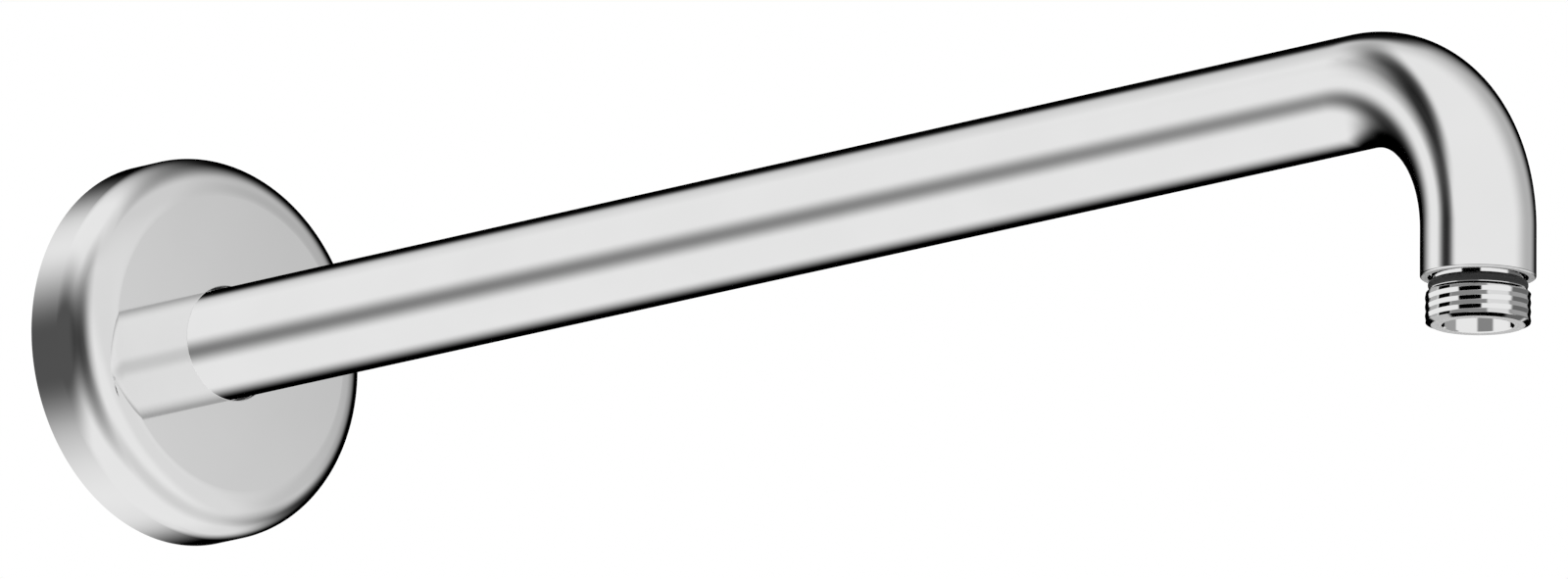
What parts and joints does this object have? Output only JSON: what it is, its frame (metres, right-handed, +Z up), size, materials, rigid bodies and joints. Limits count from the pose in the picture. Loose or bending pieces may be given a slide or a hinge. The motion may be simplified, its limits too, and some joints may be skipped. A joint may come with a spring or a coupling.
{
  "type": "shower arm",
  "caption": "Wall-mounted chrome shower arm: bent round tube with a threaded inlet, a down-turned threaded outlet with a seal ring, and a round escutcheon that slides on the tube.",
  "frame": {"origin": "on the axis of the inlet thread, in the wall plane, which is the plane of the escutcheon's back rim", "axes": "+X out of the wall along the straight run, +Z up, +Y to the left of someone facing the wall from +X; the outlet points down along -Z"},
  "size_m": [0.4195, 0.08, 0.0924],
  "materials": {
    "arm_chrome": "polished chrome plate on brass",
    "nipple_chrome": "polished chrome plate on turned brass",
    "escutcheon_chrome": "polished chrome plate on turned brass",
    "seal_rubber": "matt black rubber"
  },
  "bodies": {
    "arm": {"arm_tube": "arm_chrome", "inlet_nipple": "nipple_chrome", "outlet_nipple": "nipple_chrome", "outlet_o_ring": "seal_rubber"},
    "wall_escutcheon": {"escutcheon": "escutcheon_chrome", "escutcheon_seal": "seal_rubber"}
  },
  "joints": [
    {"name": "escutcheon_slide", "type": "slide", "parent": "arm", "child": "wall_escutcheon", "axis": [1, 0, 0], "range_m": [0, 0.339]}
  ]
}
